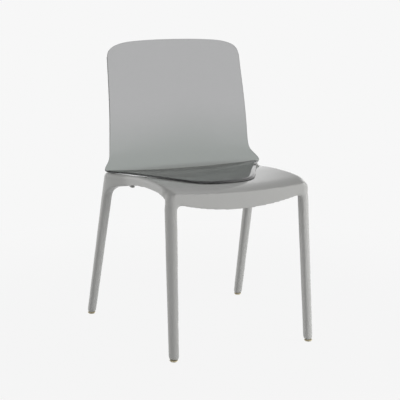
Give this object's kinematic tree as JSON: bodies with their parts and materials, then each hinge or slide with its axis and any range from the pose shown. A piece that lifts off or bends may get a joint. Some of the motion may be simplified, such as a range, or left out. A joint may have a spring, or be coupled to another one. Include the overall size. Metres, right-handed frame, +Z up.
{
  "type": "stacking side chair",
  "caption": "Moulded plastic side chair: glossy light grey seat frame with splayed legs, and a smoked clear back shell whose tongue lies on the seat.",
  "frame": {"origin": "middle of the chair on the floor, under the centre of its bounding box", "axes": "+Z up, the sitter faces -Y, +X to the right of somebody who looks at the chair from the front"},
  "size_m": [0.5236, 0.5392, 0.825],
  "materials": {
    "frame_plastic": "polished light grey moulding",
    "smoked_clear": "clear smoked grey, polished",
    "glide_plastic": "matt beige",
    "pad_rubber": "soft grey",
    "brass": "machined",
    "steel": "zinc plated"
  },
  "bodies": {
    "root": {"seat_frame": "frame_plastic", "back_shell": "smoked_clear", "glide_front_left": "glide_plastic", "glide_front_right": "glide_plastic", "glide_rear_left": "glide_plastic", "glide_rear_right": "glide_plastic", "stack_pad_1_left": "pad_rubber", "stack_pad_1_right": "pad_rubber", "stack_pad_2_left": "pad_rubber", "stack_pad_2_right": "pad_rubber", "insert_1": "brass", "insert_2": "brass", "insert_3": "brass", "insert_4": "brass", "screw_1": "steel", "screw_2": "steel", "screw_3": "steel", "screw_4": "steel", "washer_1": "steel", "washer_2": "steel", "washer_3": "steel", "washer_4": "steel"}
  },
  "joints": []
}
